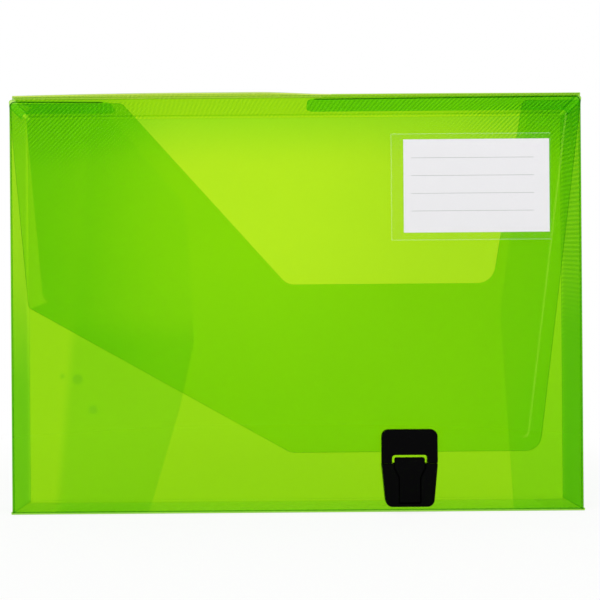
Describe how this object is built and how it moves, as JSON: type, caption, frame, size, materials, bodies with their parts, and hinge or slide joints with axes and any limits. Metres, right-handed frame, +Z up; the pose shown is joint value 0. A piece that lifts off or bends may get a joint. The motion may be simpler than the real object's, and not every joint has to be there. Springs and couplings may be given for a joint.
{
  "type": "portable file box",
  "caption": "Slim translucent sheet-plastic box for A4 papers, with a hinged lid and closing flap, folding dust flaps, a snap clip and a clear label pocket with a card.",
  "frame": {"origin": "centre of the box's width and depth on the bottom wall's lower face, on which the box stands", "axes": "+X to the right along the width, +Y from the front with its flap to the back, +Z up"},
  "size_m": [0.334, 0.0385, 0.2459],
  "materials": {
    "green_sheet": "translucent lime green polypropylene sheet with a fine diagonal embossed grain",
    "black_moulding": "glossy black moulding",
    "clear_film": "clear glossy film",
    "card": "plain white card with four thin grey ruled lines"
  },
  "bodies": {
    "box": {"back_panel": "green_sheet", "bottom_wall": "green_sheet", "front_panel": "green_sheet", "left_side_wall": "green_sheet", "right_side_wall": "green_sheet", "left_front_tab": "green_sheet", "right_front_tab": "green_sheet", "left_bottom_tab": "green_sheet", "right_bottom_tab": "green_sheet", "keeper_plate": "black_moulding", "keeper_backing": "black_moulding"},
    "lid": {"lid_top": "green_sheet"},
    "flap": {"closing_flap": "green_sheet", "clasp_plate": "black_moulding", "clasp_backing": "black_moulding", "label_pocket": "clear_film"},
    "card": {"label_card": "card"},
    "left_dust": {"left_dust_flap": "green_sheet"},
    "right_dust": {"right_dust_flap": "green_sheet"},
    "tongue": {"latch_tongue": "black_moulding"}
  },
  "joints": [
    {"name": "lid_crease", "type": "hinge", "parent": "box", "child": "lid", "pos_m": [0, 0.0171, 0.2401], "axis": [-1, 0, 0], "range_deg": [0, 225]},
    {"name": "flap_crease", "type": "hinge", "parent": "lid", "child": "flap", "pos_m": [0, -0.0171, 0.2423], "axis": [-1, 0, 0], "range_deg": [0, 110]},
    {"name": "left_dust_crease", "type": "hinge", "parent": "box", "child": "left_dust", "pos_m": [-0.1657, 0, 0.2402], "axis": [0, 1, 0], "range_deg": [0, 88], "stiffness_Nm_per_rad": 0.01, "springref_deg": -2.86},
    {"name": "right_dust_crease", "type": "hinge", "parent": "box", "child": "right_dust", "pos_m": [0.1657, 0, 0.2402], "axis": [0, -1, 0], "range_deg": [0, 88], "stiffness_Nm_per_rad": 0.06, "springref_deg": -3.44},
    {"name": "tongue_press", "type": "hinge", "parent": "box", "child": "tongue", "pos_m": [0.0644, -0.0198, 0.0069], "axis": [-1, 0, 0], "range_deg": [0, 4], "stiffness_Nm_per_rad": 0.2},
    {"name": "card_slide", "type": "slide", "parent": "flap", "child": "card", "axis": [1, 0, 0], "range_m": [0, 0.088]}
  ]
}
